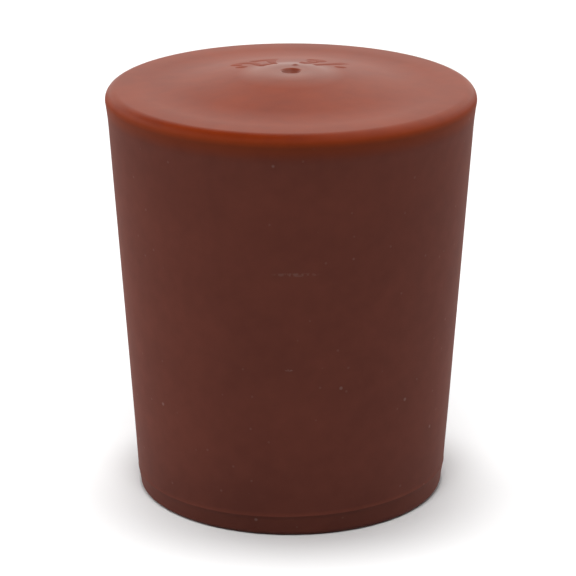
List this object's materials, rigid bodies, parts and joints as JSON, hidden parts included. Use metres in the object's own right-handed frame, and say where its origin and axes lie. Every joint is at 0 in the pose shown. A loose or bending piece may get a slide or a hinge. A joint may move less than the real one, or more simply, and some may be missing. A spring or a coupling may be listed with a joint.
{
  "type": "rubber stopper",
  "caption": "Solid tapered rubber stopper with a flat small end, a rounded rim and a low raised crown with a dimple and a small pip; it plugs the neck of a flask or bottle.",
  "frame": {"origin": "centre of the flat face of the small end, on the axis", "axes": "+Z along the axis, from the small end up to the large end; the part is turned about Z, apart from a small pip on the crown that lies towards +Y"},
  "size_m": [0.0272, 0.0272, 0.0322],
  "materials": {
    "red_rubber": "satin, moulded"
  },
  "bodies": {
    "root": {"stopper": "red_rubber"}
  },
  "joints": []
}
